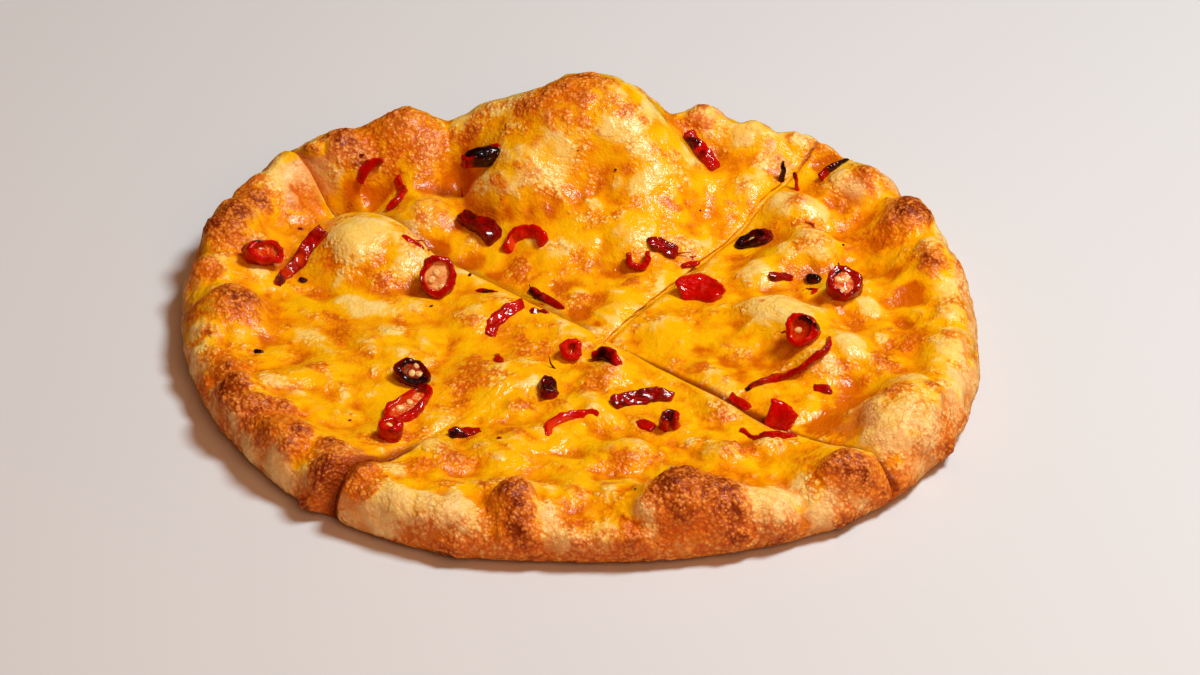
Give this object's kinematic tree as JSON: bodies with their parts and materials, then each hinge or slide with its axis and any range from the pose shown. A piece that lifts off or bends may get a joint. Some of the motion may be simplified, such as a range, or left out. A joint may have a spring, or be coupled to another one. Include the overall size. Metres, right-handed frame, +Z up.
{
  "type": "cheese naan",
  "caption": "Round blistered flatbread with melted cheese and pieces of red chilli, cut into wedge slices that still lie together.",
  "frame": {"origin": "middle of the whole part's bounding box, on the flat underside that it rests on", "axes": "+X to the right along the longest width, +Y towards the big air bubble at the back, +Z up"},
  "size_m": [0.2214, 0.2002, 0.0407],
  "materials": {
    "crust": "baked dough, pale cream to golden brown with brown blister tops and a thin oily sheen",
    "cheese": "melted yellow cheese, glossy and wrinkled, with orange-brown baked spots",
    "chilli": "baked red chilli flesh, wet gloss",
    "char": "charred chilli, nearly black with a grey gloss"
  },
  "bodies": {
    "root": {"bread_back": "crust", "bread_front": "crust", "bread_left": "crust", "bread_right": "crust", "cheese_back": "cheese", "cheese_front": "cheese", "cheese_left": "cheese", "cheese_right": "cheese", "chilli_arc_far": "chilli", "chilli_arc_front": "chilli", "chilli_arc_left": "chilli", "chilli_arc_sunk": "chilli", "chilli_bead": "char", "chilli_bent": "chilli", "chilli_charred": "char", "chilli_chip_cut": "chilli", "chilli_chip_dome": "chilli", "chilli_chip_edge": "chilli", "chilli_chip_left": "chilli", "chilli_chip_middle": "chilli", "chilli_chip_red": "chilli", "chilli_chip_ridge": "chilli", "chilli_crumple": "chilli", "chilli_curl_thin": "chilli", "chilli_curled": "chilli", "chilli_dark_front": "chilli", "chilli_dark_seam": "chilli", "chilli_flap": "chilli", "chilli_fold_black": "char", "chilli_fold_rim": "chilli", "chilli_foot": "chilli", "chilli_frill": "chilli", "chilli_half_ring": "chilli", "chilli_lobed": "chilli", "chilli_loop": "chilli", "chilli_pentagon": "chilli", "chilli_plug": "chilli", "chilli_pod": "char", "chilli_ring_black": "char", "chilli_ring_right": "chilli", "chilli_ring_seeded": "chilli", "chilli_ring_tail": "chilli", "chilli_roll": "chilli", "chilli_saddle": "chilli", "chilli_sliver_black": "char", "chilli_sliver_red": "chilli", "chilli_standing": "chilli", "chilli_strip_bubble": "chilli", "chilli_strip_rim": "chilli", "chilli_strip_torn": "chilli", "chilli_tail": "chilli", "chilli_wedge": "chilli"}
  },
  "joints": []
}
